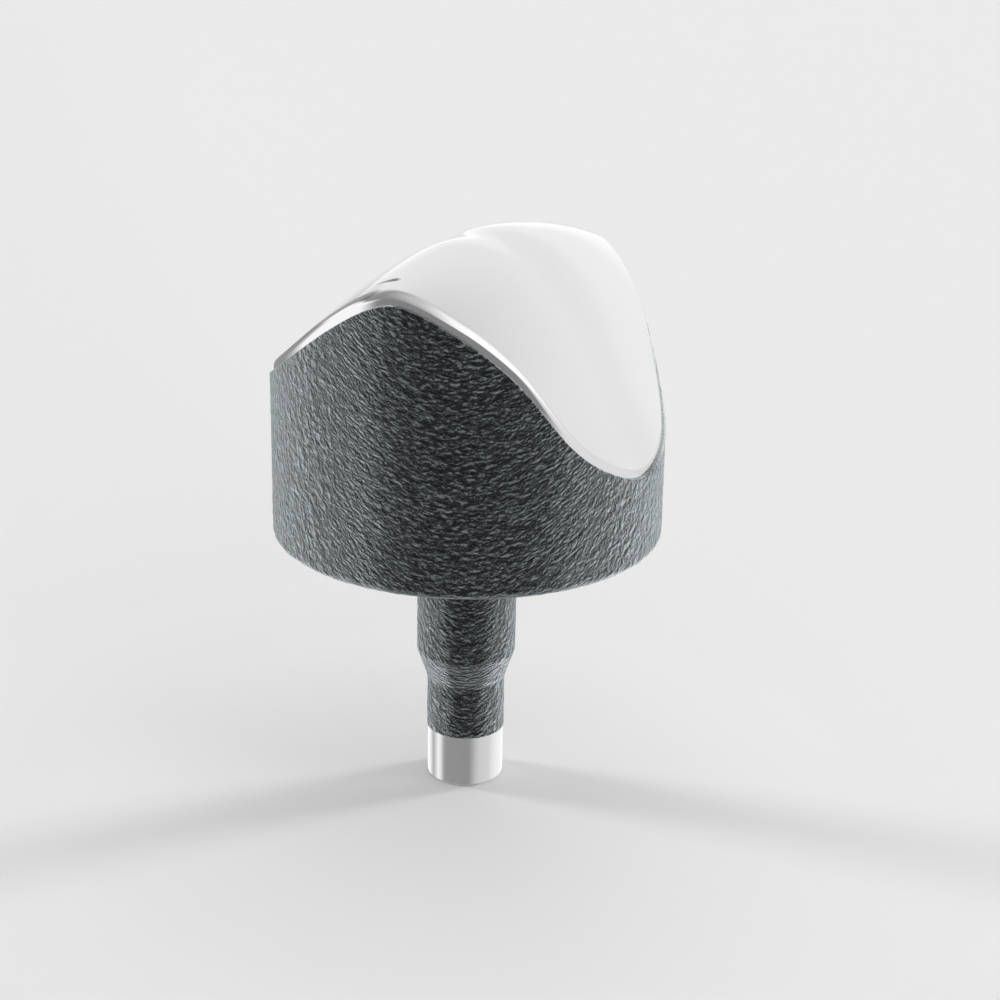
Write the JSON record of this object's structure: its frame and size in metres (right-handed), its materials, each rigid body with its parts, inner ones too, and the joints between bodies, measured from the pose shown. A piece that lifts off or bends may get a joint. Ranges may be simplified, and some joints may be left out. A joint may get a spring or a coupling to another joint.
{
  "type": "talus implant",
  "caption": "Round hat with a freeform polished running face over the ankle bone's shoulder, a rolled rim, a rough sprayed coat and a stepped peg.",
  "frame": {"origin": "centre of the hat's underside, where the peg leaves it, on the peg's axis", "axes": "+Z along the peg's axis, out of the bone towards the running face; -Y towards the picture's viewer; +X towards the steep side of the running face"},
  "size_m": [0.015, 0.015, 0.0223],
  "materials": {
    "polished_metal": "mirror polished cobalt-chromium",
    "rough_coat": "rough plasma-sprayed metal, dark grey"
  },
  "bodies": {
    "root": {"metal_body": "polished_metal", "sprayed_coat": "rough_coat"}
  },
  "joints": []
}
